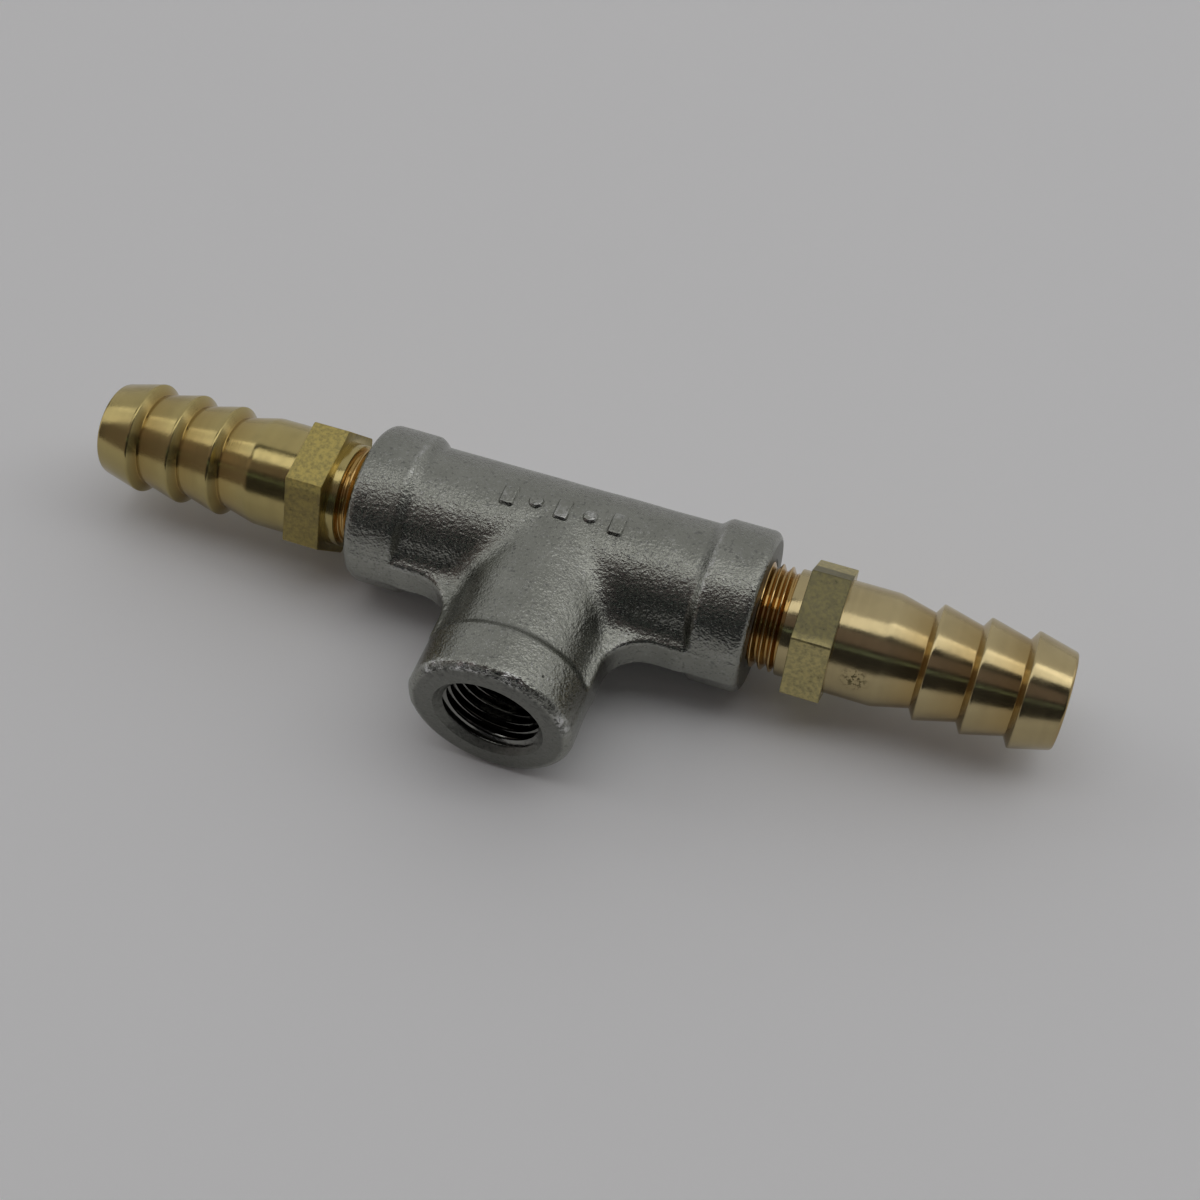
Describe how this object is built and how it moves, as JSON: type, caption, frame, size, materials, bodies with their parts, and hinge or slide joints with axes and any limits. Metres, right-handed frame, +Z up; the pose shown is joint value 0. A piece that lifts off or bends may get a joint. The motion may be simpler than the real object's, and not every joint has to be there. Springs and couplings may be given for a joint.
{
  "type": "hose barb tee fitting",
  "caption": "Cast steel threaded pipe tee lying flat, with a brass hose-barb adapter screwed into each end of its run and an open threaded branch port.",
  "frame": {"origin": "centre of the branch port's mouth, in the plane of the branch end face", "axes": "+X along the run, from the left adapter to the right one; -Y out of the branch port; +Z up as the tee lies on its three bands"},
  "size_m": [0.0973, 0.028, 0.016],
  "materials": {
    "cast_steel": "investment-cast stainless steel, satin and slightly grainy",
    "brass": "machined brass, bright on the turned faces"
  },
  "bodies": {
    "root": {"tee_body": "cast_steel", "left_hose_barb": "brass", "right_hose_barb": "brass"}
  },
  "joints": []
}
